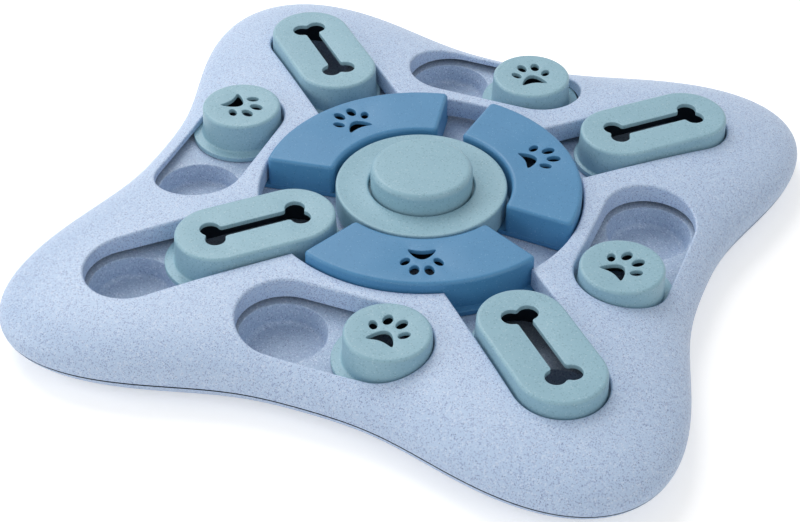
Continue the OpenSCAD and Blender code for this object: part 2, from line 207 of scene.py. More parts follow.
# A math node fed by numbers or by what other nodes put out
def mathNode(tree, operation, one, other):
    node = tree.nodes.new("ShaderNodeMath")
    node.operation = operation
    for which, value in enumerate((one, other)):
        if isinstance(value, (int, float)):
            node.inputs[which].default_value = value
        else:
            tree.links.new(value, node.inputs[which])
    return node.outputs[0]


def tone(red, green, blue):  # a colour as it is seen, 0 to 255, made linear by the sRGB curve
    def linear(c):
        c /= 255
        return c / 12.92 if c <= 0.04045 else ((c + 0.055) / 1.055) ** 2.4
    return (linear(red), linear(green), linear(blue), 1)


# A shader group with number sockets, and its two ends
def newGroup(name, given, results):
    group = bpy.data.node_groups.new(name, "ShaderNodeTree")
    for label, value in given:
        socket = group.interface.new_socket(name=label, in_out="INPUT", socket_type="NodeSocketFloat")
        socket.default_value = value
    for label in results:
        group.interface.new_socket(name=label, in_out="OUTPUT", socket_type="NodeSocketFloat")
    return group, group.nodes.new("NodeGroupInput").outputs, group.nodes.new("NodeGroupOutput").inputs


# Grains scattered through the plastic: one per cell, in a share of the cells
def speckleGroup():
    sockets = (("Cell Size", 0.001), ("Grain", 0.4), ("Share", 0.5), ("Softness", 0.12))
    group, given, result = newGroup("speckle", sockets, ["Mask"])
    nodes, links = group.nodes, group.links
    cells = nodes.new("ShaderNodeTexVoronoi")
    links.new(nodes.new("ShaderNodeTexCoord").outputs["Object"], cells.inputs["Vector"])
    links.new(mathNode(group, "DIVIDE", 1, given["Cell Size"]), cells.inputs["Scale"])
    parts = nodes.new("ShaderNodeSeparateColor")
    links.new(cells.outputs["Color"], parts.inputs["Color"])
    reach = mathNode(group, "MULTIPLY", parts.outputs["Red"], given["Grain"])
    edge = nodes.new("ShaderNodeMapRange")
    edge.interpolation_type = "SMOOTHSTEP"
    edge.inputs["From Min"].default_value = 0
    links.new(mathNode(group, "SUBTRACT", reach, cells.outputs["Distance"]), edge.inputs["Value"])
    links.new(given["Softness"], edge.inputs["From Max"])
    chosen = mathNode(group, "LESS_THAN", parts.outputs["Green"], given["Share"])
    links.new(mathNode(group, "MULTIPLY", edge.outputs[0], chosen), result["Mask"])
    return group


# Slow clouding of the pigment, and the fine orange-peel of a spark-eroded mould
def mouldGroup():
    sockets = (("Cloud Size", 0.02), ("Peel Size", 0.0006))
    group, given, result = newGroup("mouldSkin", sockets, ["Cloud", "Height"])
    coords = group.nodes.new("ShaderNodeTexCoord")
    for label, output, detail in (("Cloud Size", "Cloud", 3), ("Peel Size", "Height", 2)):
        noise = group.nodes.new("ShaderNodeTexNoise")
        noise.inputs["Detail"].default_value = detail
        group.links.new(coords.outputs["Object"], noise.inputs["Vector"])
        group.links.new(mathNode(group, "DIVIDE", 1, given[label]), noise.inputs["Scale"])
        group.links.new(noise.outputs["Fac"], result[output])
    return group


speckle = speckleGroup()
mouldSkin = mouldGroup()


def mixOver(tree, mask, below, colour, strength):
    mix = tree.nodes.new("ShaderNodeMix")
    mix.data_type = "RGBA"
    tree.links.new(mathNode(tree, "MULTIPLY", mask, strength), mix.inputs["Factor"])
    tree.links.new(below, mix.inputs["A"])
    mix.inputs["B"].default_value = colour
    return mix.outputs["Result"]


# A moulded surface: two tones that cloud into each other, layers of grain, and a fine skin
def mouldedFinish(name, finish):
    material = bpy.data.materials.new(name)
    material.use_nodes = True
    tree = material.node_tree
    shader = tree.nodes["Principled BSDF"]
    skinNode = tree.nodes.new("ShaderNodeGroup")
    skinNode.node_tree = mouldSkin
    skinNode.inputs["Cloud Size"].default_value = finish["cloudSize"] * mm
    skinNode.inputs["Peel Size"].default_value = finish["peelSize"] * mm
    cloud = tree.nodes.new("ShaderNodeMix")
    cloud.data_type = "RGBA"
    cloud.inputs["A"].default_value = finish["deep"]
    cloud.inputs["B"].default_value = finish["pale"]
    tree.links.new(skinNode.outputs["Cloud"], cloud.inputs["Factor"])
    colour = cloud.outputs["Result"]
    for layer in finish["grains"]:
        grain = tree.nodes.new("ShaderNodeGroup")
        grain.node_tree = speckle
        grain.inputs["Cell Size"].default_value = layer["cell"] * mm
        grain.inputs["Grain"].default_value = layer["grain"]
        grain.inputs["Share"].default_value = layer["share"]
        colour = mixOver(tree, grain.outputs["Mask"], colour, layer["tone"], layer["strength"])
    tree.links.new(colour, shader.inputs["Base Color"])
    sheen = tree.nodes.new("ShaderNodeMapRange")
    sheen.inputs["To Min"].default_value = finish["roughness"] - finish["glossSwing"]
    sheen.inputs["To Max"].default_value = finish["roughness"] + finish["glossSwing"]
    tree.links.new(skinNode.outputs["Height"], sheen.inputs["Value"])
    tree.links.new(sheen.outputs[0], shader.inputs["Roughness"])
    bump = tree.nodes.new("ShaderNodeBump")
    bump.inputs["Strength"].default_value = finish["bump"]
    bump.inputs["Distance"].default_value = finish["peelHigh"] * mm
    tree.links.new(skinNode.outputs["Height"], bump.inputs["Height"])
    tree.links.new(bump.outputs["Normal"], shader.inputs["Normal"])
    shader.inputs["Specular IOR Level"].default_value = finish["specular"]
    shader.inputs["Metallic"].default_value = finish["metallic"]
    return material


# Sizes in millimetres; a plain finish has no grain, and its deeper tone is a share of its colour
plain = {"cloudSize": 6, "peelSize": 0.6, "peelHigh": 0.05, "glossSwing": 0.08, "bump": 0.2,
         "specular": 0.5, "metallic": 0.0, "grains": [], "deepShare": 0.85}
grained = dict(plain, peelSize=0.5, glossSwing=0.05, specular=0.4)


def plainFinish(name, colour, roughness, **other):
    deep = [c * plain["deepShare"] for c in colour[:3]] + [1]
    return mouldedFinish(name, dict(plain, deep=deep, pale=colour, roughness=roughness, **other))


boardGrains = [{"cell": 0.5, "grain": 0.8, "share": 0.6, "tone": tone(140, 155, 194), "strength": 0.7},
               {"cell": 0.75, "grain": 0.5, "share": 0.38, "tone": tone(104, 116, 156), "strength": 0.6},
               {"cell": 0.65, "grain": 0.8, "share": 0.45, "tone": tone(216, 227, 245), "strength": 0.55}]
coverGrains = [{"cell": 0.7, "grain": 0.7, "share": 0.4, "tone": tone(114, 150, 164), "strength": 0.5},
               {"cell": 0.8, "grain": 0.6, "share": 0.35, "tone": tone(180, 207, 218), "strength": 0.4}]
arcGrains = [{"cell": 0.6, "grain": 0.5, "share": 0.35, "tone": tone(50, 106, 148), "strength": 0.6},
             {"cell": 0.8, "grain": 0.45, "share": 0.3, "tone": tone(116, 166, 202), "strength": 0.55}]
boardPlastic = mouldedFinish("boardPlastic", dict(
    grained, deep=tone(181, 202, 230), pale=tone(192, 212, 238), cloudSize=26, roughness=0.42, bump=0.25,
    grains=boardGrains))
trayPlastic = mouldedFinish("trayPlastic", dict(
    grained, deep=tone(166, 187, 213), pale=tone(176, 197, 222), cloudSize=26, roughness=0.46, bump=0.25,
    grains=boardGrains))
coverPlastic = mouldedFinish("coverPlastic", dict(
    grained, deep=tone(139, 177, 193), pale=tone(149, 187, 202), cloudSize=18, roughness=0.4,
    grains=coverGrains))
arcPlastic = mouldedFinish("arcPlastic", dict(
    grained, deep=tone(71, 132, 176), pale=tone(82, 142, 186), cloudSize=18, roughness=0.4,
    grains=arcGrains))
# Painted shade, not a colour of the plastic: near-black blue standing in for the shadow inside the hollow parts,
# under the deck and in the seam gap
paintedShadeInside = plainFinish("paintedShadeInside", tone(16, 34, 50), 0.7)
footRubber = plainFinish("footRubber", tone(58, 60, 64), 0.75)
bulbRubber = plainFinish("bulbRubber", tone(196, 190, 178), 0.6)
reedPlastic = plainFinish("reedPlastic", tone(232, 232, 226), 0.35)
screwSteel = plainFinish("screwSteel", tone(188, 190, 192), 0.35, metallic=1.0, peelSize=0.3)
print("finishes made")


board = {
    "mean": 157.6, "swing": 30.8, "pinch": 4.9,  # outline radius and its waves
    "deckZ": 31.8, "edgeZ": 13.6, "crownPower": 5.3, "rimPower": 13, "wall": 2.0,
    "seamZ": 10.8, "seamGap": 0.95, "footStand": 1.5, "floorZ": 19.0, "lipZ": 22.0,
    "slotR": 20.4, "pawLine": 99.8, "pawPitch": 44.8, "boneEnd": 135.3, "ringR": 72.6,
    "filletWide": 1.2, "filletDeep": 1.2, "innerShare": 0.93,
    "around": 384, "rimSteps": 5, "crownSteps": 12, "filletSteps": 6,  # how finely it is divided
    "slotAlong": 30, "slotAround": 40, "legAlong": 44, "legAround": 44, "ringAround": 52,
    "spotPitch": 2.6, "rowShare": 0.866, "spotReach": 200, "spotsFrom": 75, "crownGap": 1.2, "landGap": 0.9}


def outlineR(a):
    return board["mean"] - board["swing"] * cos(4 * a) + board["pinch"] * cos(8 * a)


def deckHeight(x, y):
    share = min(hypot(x, y) / outlineR(atan2(y, x)), 1)
    return board["edgeZ"] + (board["deckZ"] - board["edgeZ"]) * sqrt(1 - share ** board["crownPower"])


def rimShare(z):
    return (1 - ((board["edgeZ"] - z) / board["edgeZ"]) ** 2) ** (1 / board["rimPower"])


def boardRing(share, z, inset=0.0):
    ring = []
    for i in range(board["around"]):
        a = 2 * pi * i / board["around"]
        r = outlineR(a) * share - inset
        ring.append((r * cos(a), r * sin(a), z))
    return ring


def shifted(points, x, y):
    return [(px + x, py + y) for px, py in points]


def turnedBy(points, angle):
    c, s = cos(angle), sin(angle)
    return [(x * c - y * s, x * s + y * c) for x, y in points]


# The same points at each of the four sides, or from a start of pi / 4 at each of the four corners
def fourTimes(points, start=0.0):
    return [turnedBy(points, start + k * pi / 2) for k in range(4)]


def fourSpots(points, start=0.0):
    return [p for spots in fourTimes(points, start) for p in spots]


def arcPoints(x, y, r, fromAngle, toAngle, count):
    return [(x + r * cos(fromAngle + (toAngle - fromAngle) * i / count),
             y + r * sin(fromAngle + (toAngle - fromAngle) * i / count)) for i in range(count)]


def linePoints(start, end, count):
    return [(start[0] + (end[0] - start[0]) * i / count, start[1] + (end[1] - start[1]) * i / count)
            for i in range(count)]


# Round-ended outline along X, anticlockwise
def roundEnded(pitch, r, along, around):
    half = pitch / 2
    return (linePoints((-half, -r), (half, -r), along) + arcPoints(half, 0, r, -pi / 2, pi / 2, around)
            + linePoints((half, r), (-half, r), along) + arcPoints(-half, 0, r, pi / 2, 3 * pi / 2, around))


# The same with an end of its own radius at each side, the outer one towards +X
def unevenEnded(pitch, outerR, innerR, along, around):
    half, lean = pitch / 2, asin((outerR - innerR) / pitch)
    low, high = -pi / 2 - lean, pi / 2 + lean
    outerFrom = (half + outerR * cos(low), outerR * sin(low))
    outerTo = (half + outerR * cos(high), outerR * sin(high))
    innerFrom = (-half + innerR * cos(high), innerR * sin(high))
    innerTo = (-half + innerR * cos(low), innerR * sin(low))
    points = linePoints(innerTo, outerFrom, along) + arcPoints(half, 0, outerR, low, high, around)
    points += linePoints(outerTo, innerFrom, along)
    return points + arcPoints(-half, 0, innerR, high, 2 * pi + low, around)


# The outlines of the four side slots and of the star of bone slots and ring channel, grown by d
def slotOutlines(d):
    r, ring, end = board["slotR"] + d, board["ringR"] + d, board["boneEnd"]
    slot = roundEnded(board["pawPitch"], r, board["slotAlong"], board["slotAround"])
    corner, half = sqrt(ring ** 2 - r ** 2), asin(r / ring)
    leg = (linePoints((corner, -r), (end, -r), board["legAlong"])
           + arcPoints(end, 0, r, -pi / 2, pi / 2, board["legAround"])
           + linePoints((end, r), (corner, r), board["legAlong"])
           + arcPoints(0, 0, ring, half, pi / 2 - half, board["ringAround"]))
    return fourTimes(shifted(slot, 0, -board["pawLine"])) + [fourSpots(leg, pi / 4)]


# How far a point of the deck is from the nearest opening
def landWidth(x, y):
    widths = [hypot(x, y) - board["ringR"]]
    for k in range(4):
        c, s = cos(k * pi / 2), sin(k * pi / 2)
        u, v = x * c + y * s, -x * s + y * c + board["pawLine"]
        widths.append(hypot(max(abs(u) - board["pawPitch"] / 2, 0), v) - board["slotR"])
        c, s = cos(pi / 4 + k * pi / 2), sin(pi / 4 + k * pi / 2)
        u, v = x * c + y * s, -x * s + y * c
        widths.append(hypot(u - min(max(u, 0), board["boneEnd"]), v) - board["slotR"])
    return min(widths)


# Loose spots of the deck's mesh, in staggered rows, clear of the openings and of the crown's edge
def deckSpots():
    pitch, land = board["spotPitch"], board["filletWide"] + board["landGap"]
    reach = int(board["spotReach"] / pitch)
    spots = []
    for row in range(-reach, reach + 1):
        for column in range(-reach, reach + 1):
            x, y = (column + (row % 2) / 2) * pitch, row * pitch * board["rowShare"]
            edge = outlineR(atan2(y, x)) * board["innerShare"] - board["crownGap"]
            if board["spotsFrom"] < hypot(x, y) < edge and landWidth(x, y) > land:
                spots.append((x, y))
    return spots


def makeBoardTop():
    skin = Skin()
    low, edgeZ, power = board["seamZ"] + board["seamGap"], board["edgeZ"], board["crownPower"]
    rimRings = []
    for i in range(board["rimSteps"]):
        z = low + (edgeZ - low) * i / board["rimSteps"]
        rimRings.append(boardRing(rimShare(z), z))
    endAngle = asin(sqrt(1 - board["innerShare"] ** power))
    for i in range(board["crownSteps"] + 1):
        a = endAngle * i / board["crownSteps"]
        rimRings.append(boardRing(cos(a) ** (2 / power), edgeZ + (board["deckZ"] - edgeZ) * sin(a)))
    crownEdge = skin.stack(rimRings)[-1]
    wide, deep, steps = board["filletWide"], board["filletDeep"], board["filletSteps"]
    offsets = [wide * (1 - cos(pi / 2 * i / steps)) for i in range(steps + 1)]
    holes = []
    for outlines in zip(*[slotOutlines(d) for d in offsets]):
        rings = [[(x, y, board["lipZ"]) for x, y in outlines[0]]]
        for d, outline in zip(offsets, outlines):
            drop = deep * (1 - sqrt(max(1 - (1 - d / wide) ** 2, 0)))
            rings.append([(x, y, deckHeight(x, y) - drop) for x, y in outline])
        holes.append(skin.stack(rings)[-1])
    fillBetween(skin, crownEdge, holes, deckSpots(), deckHeight)
    mesh = meshFrom("boardTopSkin", skin, facingUp=True)
    mesh.materials.append(boardPlastic)
    mesh.materials.append(paintedShadeInside)
    raw = bpy.data.objects.new("boardTopRaw", mesh)
    scene.collection.objects.link(raw)
    wall = raw.modifiers.new("wall", "SOLIDIFY")
    wall.thickness = board["wall"] * mm
    wall.offset = -1
    # Material 1 on the solidified inner face: painted shade under the deck
    wall.material_offset = 1
    place("boardTop", finishedMesh(raw, "boardTop"), boardPlastic, "board", ["top_shell"],
          paintedShadeInside)


makeBoardTop()
print("board top made")


base = {"wall": 2.4, "tongueFit": 0.4, "tongue": 1.8, "tongueUps": (1, 2.4), "innerZs": (6.2, 4.8),
        "bossR": 5.0, "bossTop": 16.8, "recessR": 3.4, "seatZ": 10.0, "holeR": 1.8, "screwX": 58.0, "screwY": 122.0,
        "footR": 10.1, "footCircle": 138.0, "footTop": 2.5, "chamfer": 0.3,
        "underIn": 0.9, "curlIn": 0.35, "curlUp": 0.12, "wallUp": 0.5, "seamDown": 0.25, "seamIn": 0.1,
        "wallSteps": 9, "bossAround": 48, "footAround": 64}


def shellScrewSpots():
    return fourSpots([(side * base["screwX"], -base["screwY"]) for side in (-1, 1)])


def footSpots():
    return fourSpots([(base["footCircle"], 0)], pi / 4)


def makeBase():
    skin = Skin()
    low, seam, top, chamfer = board["footStand"], board["seamZ"], board["edgeZ"], base["chamfer"]
    tongueIn = base["wall"] + base["tongueFit"]
    inner = tongueIn + base["tongue"]
    floorZ = low + base["wall"]
    rings = [boardRing(rimShare(low), low, base["underIn"]),
             boardRing(rimShare(low), low + base["curlUp"], base["curlIn"])]
    first, last = low + base["wallUp"], seam - base["seamDown"]
    heights = [first + (last - first) * (1 - cos(a)) for a in sweep(90, base["wallSteps"])]
    rings += [boardRing(rimShare(z), z) for z in heights]
    rings += [boardRing(rimShare(seam), seam, base["seamIn"])]
    outside = skin.stack(rings)
    tongue = [boardRing(rimShare(seam), seam, tongueIn)]
    tongue += [boardRing(rimShare(seam + up), seam + up, tongueIn) for up in base["tongueUps"]]
    tongue += [boardRing(rimShare(top), top, tongueIn), boardRing(1, top, inner)]
    tongue += [boardRing(rimShare(z), z, inner) for z in (seam, *base["innerZs"], floorZ)]
    # The tongue, the ledge and the base's inner wall take painted shade, a dark colour for the shadow in the seam
    # gap and inside
    skin.paint(1)
    inside = skin.stack(tongue)
    skin.band(outside[-1], inside[0])
    skin.paint(0)
    under, floor = [], []
    bossR, holeR, recessR, seatZ = (base[key] for key in ("bossR", "holeR", "recessR", "seatZ"))
    boss = [(bossR, floorZ), (bossR, base["bossTop"]), (holeR, base["bossTop"]), (holeR, seatZ),
            (recessR, seatZ), (recessR, low + chamfer), (recessR + chamfer, low)]
    for x, y in shellScrewSpots():
        column = skin.stack(turned(x, y, boss, base["bossAround"]))
        floor.append(column[0])
        under.append(column[-1])
    recess = [(base["footR"], base["footTop"]), (base["footR"], low + chamfer), (base["footR"] + chamfer, low)]
    for x, y in footSpots():
        rim = skin.stack(turned(x, y, recess, base["footAround"]))
        skin.lid(rim[0])
        under.append(rim[-1])
    fillBetween(skin, outside[0], under)
    fillBetween(skin, inside[-1], floor)
    place("boardBase", meshFrom("boardBase", skin), boardPlastic, "board", ["base_shell"],
          paintedShadeInside)


makeBase()
print("base made")


tray = {"wall": 2.2, "cupR": 18.7, "cupDeep": 9.0, "taper": 1.5, "floorRound": 2.6, "mouthRound": 0.5,
        "cupPitch": 46.0, "wellR": 24.0, "wellDeep": 9.0, "wellEdge": 0.5, "reedHole": 5.0,
        "hubScrewCircle": 34.0, "hubScrewR": 1.55, "edgeInset": 3.0, "deckGap": 2.4, "underDrop": 1.2, "underOut": 1,
        "mouthSteps": 5, "floorSteps": 8, "floorShares": (0.6, 0.25),
        "cupAround": 112, "underAround": 64, "wellAround": 96, "holeAround": 32}


def cupSpots():
    sidePair = [(side * tray["cupPitch"] / 2, -board["pawLine"]) for side in (-1, 1)]
    return fourSpots(sidePair) + fourSpots([(board["boneEnd"], 0)], pi / 4)


# Half section of a cup from its mouth to its middle
def cupProfile():
    top, deep = board["floorZ"], tray["cupDeep"]
    r, mouth, inner = tray["cupR"], tray["mouthRound"], tray["floorRound"]
    slope = atan2(tray["taper"], deep)
    footR = r - tray["taper"]
    mouthTurns = [(pi / 2 - slope) * i / tray["mouthSteps"] for i in range(tray["mouthSteps"] + 1)]
    floorTurns = [slope + (pi / 2 - slope) * i / tray["floorSteps"] for i in range(tray["floorSteps"] + 1)]
    profile = [(r + mouth * (1 - sin(a)), top - mouth * (1 - cos(a))) for a in mouthTurns]
    profile += [(footR - inner + inner * cos(a), top - deep + inner - inner * sin(a)) for a in floorTurns]
    return profile + [(footR * share, top - deep) for share in tray["floorShares"]]


def makeTray():
    skin = Skin()
    wall, top = tray["wall"], board["floorZ"]
    bottom, cupFloor, wellZ = top - wall, top - tray["cupDeep"], top - tray["wellDeep"]
    crown = board["deckZ"] - tray["deckGap"] - board["edgeZ"]
    share = (1 - ((top - board["edgeZ"]) / crown) ** 2) ** (1 / board["crownPower"])
    edge = skin.stack([boardRing(share, z, tray["edgeInset"]) for z in (bottom, top)])
    above, below = [], []
    footR = tray["cupR"] - tray["taper"]
    underCup = [(tray["cupR"] + wall, bottom), (footR + wall, cupFloor - tray["underDrop"]),
                (footR + tray["underOut"], cupFloor - wall)]
    for x, y in cupSpots():
        cup = skin.stack(turned(x, y, cupProfile(), tray["cupAround"]))
        skin.lid(cup[-1])
        above.append(cup[0])
        outer = skin.stack(turned(x, y, underCup, tray["underAround"]))
        skin.lid(outer[-1])
        below.append(outer[0])
    wellR, hole, wellEdge = tray["wellR"], tray["reedHole"], tray["wellEdge"]
    profile = [(wellR + wellEdge, top), (wellR, top - wellEdge), (wellR, wellZ), (hole, wellZ),
               (hole, wellZ - wall), (wellR + wall, wellZ - wall), (wellR + wall, bottom)]
    well = skin.stack(turned(0, 0, profile, tray["wellAround"]))
    above.append(well[0])
    below.append(well[-1])
    hubHoles = fourSpots([(tray["hubScrewCircle"], 0)])
    for spots, r in ((shellScrewSpots(), base["holeR"]), (hubHoles, tray["hubScrewR"])):
        for x, y in spots:
            through = skin.stack(turned(x, y, [(r, top), (r, bottom)], tray["holeAround"]))
            above.append(through[0])
            below.append(through[1])
    fillBetween(skin, edge[1], above)
    fillBetween(skin, edge[0], below)
    place("floorTray", meshFrom("floorTray", skin), trayPlastic, "board", ["floor_tray"])


makeTray()
print("tray made")


cover = {"h": 16.5, "floorGap": 0.25, "wall": 2.0, "topRound": 1.5, "topFlat": 0.3, "draft": 0.4,
         "flangeW": 4.6, "flangeIn": 1.8, "flangeT": 2.4, "footRound": 0.9, "lipRound": 0.5, "underRound": 0.3,
         "roofCorner": 1, "roofMid": 0.3, "holeEdge": 0.35,
         "roundSteps": 8, "footSteps": 5, "lipSteps": 4, "underSteps": 3}
coverZ = board["floorZ"] + cover["floorGap"]


# Section of a cover as (offset from its outline, share of the flange, height), in two parts: from
# the top's rim down the outside and round the flange, and up the inside to the roof
def coverSection(form):
    h, topRound, footRound, draft = (form[key] for key in ("h", "topRound", "footRound", "draft"))
    flangeT, wall, lip, under = (cover[key] for key in ("flangeT", "wall", "lipRound", "underRound"))
    outside = [(-draft - topRound - cover["topFlat"], 0, h)]
    outside += [(-draft - topRound + across, 0, up)
                for across, up in quarter(0, h - topRound, topRound, 90, 0, cover["roundSteps"])]
    outside += [(footRound * (1 - cos(a)), 0, flangeT + footRound * (1 - sin(a)))
                for a in sweep(90, cover["footSteps"])]
    outside += [(-lip * (1 - sin(a)), 1, flangeT - lip * (1 - cos(a))) for a in sweep(90, cover["lipSteps"])]
    outside += [(-under * (1 - cos(a)), 1, under * (1 - sin(a))) for a in sweep(90, cover["underSteps"])]
    roof, corner, mid = h - wall, cover["roofCorner"], cover["roofMid"]
    inside = [(-wall, 0, 0), (-wall, 0, flangeT), (-wall - draft, 0, roof - corner),
              (-wall - draft - mid, 0, roof - mid), (-wall - draft - corner, 0, roof)]
    return outside, inside


# Outline of a hole grown by d along its own normals
def grown(outline, d):
    n = len(outline)
    points = []
    for i, (x, y) in enumerate(outline):
        px, py = outline[i - 1]
        nx, ny = outline[(i + 1) % n]
        tx, ty = nx - px, ny - py
        size = hypot(tx, ty)
        points.append((x + ty / size * d, y - tx / size * d))
    return points


paw = {"padWide": 5.9, "padNarrowing": 0.1, "padHigh": 3.3, "padHollow": 1.9, "padDown": 5.1, "padSteps": 56,
       "toes": [(-7.1, 0.9, 34, 1.8, 2.8), (-3.2, 6.5, 10, 2.1, 3.2),  # x, y, turn, half width, half height
                (3.2, 6.5, -10, 2.1, 3.2), (7.1, 0.9, -34, 1.8, 2.8)], "toeSteps": 28}


def toeHole(x, y, turn, wide, high):
    angles = [2 * pi * i / paw["toeSteps"] for i in range(paw["toeSteps"])]
    return shifted(turnedBy([(wide * cos(a), high * sin(a)) for a in angles], radians(turn)), x, y)


# Pad and toes of the paw, toes towards +Y; padLow flattens the pad
def pawHoles(padLow=1.0):
    pad = []
    for i in range(paw["padSteps"]):
        a = 2 * pi * i / paw["padSteps"]
        across = paw["padWide"] * cos(a) * (1 - paw["padNarrowing"] * sin(a))
        up = paw["padHigh"] * sin(a) - paw["padHollow"] * cos(2 * a)
        pad.append((across, padLow * up - paw["padDown"]))
    return [pad] + [toeHole(*toe) for toe in paw["toes"]]


bone = {"pitch": 39.2, "barW": 6.4, "knobR": 4.4, "knobPitch": 7.4, "neckRound": 1.5, "dimpleRound": 1.5,
        "dimpleSteps": 4, "knobSteps": 34, "neckSteps": 6, "barSteps": 12}


# Bar with two knobs at each end, along X, anticlockwise: one quarter, then its mirror images
def boneHoles():
    half, bar, r, lift = bone["pitch"] / 2, bone["barW"] / 2, bone["knobR"], bone["knobPitch"] / 2
    neck, dimple = bone["neckRound"], bone["dimpleRound"]
    neckX = sqrt((r + neck) ** 2 - (lift - bar - neck) ** 2)
    dimpleX = sqrt((r + dimple) ** 2 - lift ** 2)
    neckAt, dimpleAt = atan2(bar + neck - lift, -neckX) % (2 * pi), atan2(-lift, dimpleX)
    corner = arcPoints(half + dimpleX, 0, dimple, pi, pi + dimpleAt, bone["dimpleSteps"])
    corner += arcPoints(half, lift, r, dimpleAt, neckAt, bone["knobSteps"])
    corner += arcPoints(half - neckX, bar + neck, neck, neckAt - pi, -pi / 2, bone["neckSteps"])
    corner += linePoints((half - neckX, bar), (0, bar), bone["barSteps"])
    upper = corner + [(0, bar)] + [(-x, y) for x, y in corner[:0:-1]]
    return [upper + [(-x, -y) for x, y in upper]]


def lifted(points, z):
    return [(x, y, coverZ + z) for x, y in points]


# A hollow cover from its outline, which is a function of the offset and the flange share
def makeCover(name, outline, holes, form, material):
    skin = Skin()
    placed = []
    # The outside section takes the plastic, the inside section the painted shade (material 1)
    for which, section in enumerate(coverSection(form)):
        skin.paint(which)
        placed.append(skin.stack([lifted(outline(d, share), z) for d, share, z in section]))
    skin.band(placed[0][-1], placed[1][0])
    edge, h = cover["holeEdge"], form["h"]
    above, below = [], []
    skin.paint(0)
    for hole in holes:
        wallRings = [lifted(grown(hole, edge * (1 - sin(a))), h - edge * (1 - cos(a)))
                     for a in sweep(90, cover["lipSteps"])]
        column = skin.stack(wallRings + [lifted(hole, h - cover["wall"])])
        above.append(column[0])
        below.append(column[-1])
    fillBetween(skin, placed[0][0], above)
    # The roof's underside takes the painted shade too
    skin.paint(1)
    fillBetween(skin, placed[1][-1], below)
    body = next(b for b, group in frame["record"]["behaviour"]["bodies"].items() if name in group)
    place("dressed_" + name, meshFrom(name, skin), material, body, [name], paintedShadeInside)


def middle(node):
    low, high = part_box(node)
    return (low.x + high.x) / 2 / mm, (low.y + high.y) / 2 / mm


slider = {"pawR": 18.7, "boneR": 19.4, "bonePitch": 34.2, "pawAround": 128, "boneAlong": 24, "boneAround": 52,
          "toesTo": {"front": 84.5, "right": 64.5, "back": 121.5, "left": -16.5},
          "lobesTo": {"front_right": -45, "back_right": 45, "back_left": 135, "front_left": 225}}


def makePawSlider(side, toesTo):
    node = "paw_slider_" + side
    cx, cy = middle(node)

    def outline(d, share):
        r = slider["pawR"] + d + share * cover["flangeW"]
        return [(x, y) for x, y, z in circle(cx, cy, 0, r, slider["pawAround"])]

    holes = [shifted(turnedBy(hole, radians(toesTo - 90)), cx, cy) for hole in pawHoles()]
    makeCover(node, outline, holes, cover, coverPlastic)


def makeBoneSlider(lobe, turn):
    node = "bone_slider_" + lobe
    cx, cy = middle(node)

    def outline(d, share):
        outerR = slider["boneR"] + d + share * cover["flangeW"]
        innerR = slider["boneR"] + d + share * cover["flangeIn"]
        shape = unevenEnded(slider["bonePitch"], outerR, innerR, slider["boneAlong"], slider["boneAround"])
        return shifted(turnedBy(shape, radians(turn)), cx, cy)

    holes = [shifted(turnedBy(hole, radians(turn)), cx, cy) for hole in boneHoles()]
    makeCover(node, outline, holes, cover, coverPlastic)


for side, toesTo in slider["toesTo"].items():
    makePawSlider(side, toesTo)
for lobe, turn in slider["lobesTo"].items():
    makeBoneSlider(lobe, turn)
print("sliders made")

arc = {"outerR": 71.8, "innerR": 40.5, "outerFlange": 3.2, "innerFlange": 3.2, "span": 87.8, "h": 16.55,
       "cornerR": 2.4, "flangeCorner": 1.0, "leastCorner": 0.05, "topRound": 1.8, "footRound": 0.2, "draft": 0.0,
       "starts": {"right": -4.0, "back": 100.8, "front": 246.3}, "padLow": 0.85, "pawTurn": 1.0,
       "outerSteps": 90, "innerSteps": 60, "endSteps": 14, "cornerSteps": 10}


# Ring sector with rounded corners in plan, offset by d, its two curved sides also by their flanges
def sectorOutline(a0, a1, d, share):
    outer, inner = arc["outerR"] + share * arc["outerFlange"], arc["innerR"] - share * arc["innerFlange"]
    corner = arc["cornerR"] if share == 0 else arc["flangeCorner"]
    r = max(corner + d, arc["leastCorner"])
    outCentre, inCentre = outer - corner, inner + corner
    outTurn, inTurn = asin(corner / outCentre), asin(corner / inCentre)

    def at(radius, angle):
        return radius * cos(angle), radius * sin(angle)

    def beside(centre, angle, way):  # r away from a corner's centre, square to the end at that angle
        return centre[0] - way * r * sin(angle), centre[1] + way * r * cos(angle)

    c1, c2 = at(outCentre, a1 - outTurn), at(inCentre, a1 - inTurn)
    c3, c4 = at(inCentre, a0 + inTurn), at(outCentre, a0 + outTurn)
    round4, straight = arc["cornerSteps"], arc["endSteps"]
    points = arcPoints(0, 0, outer + d, a0 + outTurn, a1 - outTurn, arc["outerSteps"])
    points += arcPoints(*c1, r, a1 - outTurn, a1 + pi / 2, round4)
    points += linePoints(beside(c1, a1, 1), beside(c2, a1, 1), straight)
    points += arcPoints(*c2, r, a1 + pi / 2, a1 - inTurn + pi, round4)
    points += arcPoints(0, 0, inner - d, a1 - inTurn, a0 + inTurn, arc["innerSteps"])
    points += arcPoints(*c3, r, a0 + inTurn + pi, a0 + 3 * pi / 2, round4)
    points += linePoints(beside(c3, a0, -1), beside(c4, a0, -1), straight)
    points += arcPoints(*c4, r, a0 - pi / 2, a0 + outTurn, round4)
    return points


def makeArcCover(side, start):
    a0, a1 = radians(start), radians(start + arc["span"])
    midR = (arc["outerR"] + arc["innerR"]) / 2
    turn = (a0 + a1) / 2 - pi / 2 + radians(arc["pawTurn"])

    def outline(d, share):
        return sectorOutline(a0, a1, d, share)

    holes = [turnedBy(shifted(hole, 0, midR), turn) for hole in pawHoles(arc["padLow"])]
    makeCover("arc_cover_" + side, outline, holes, arc, arcPlastic)


for side, start in arc["starts"].items():
    makeArcCover(side, start)
print("curved covers made")


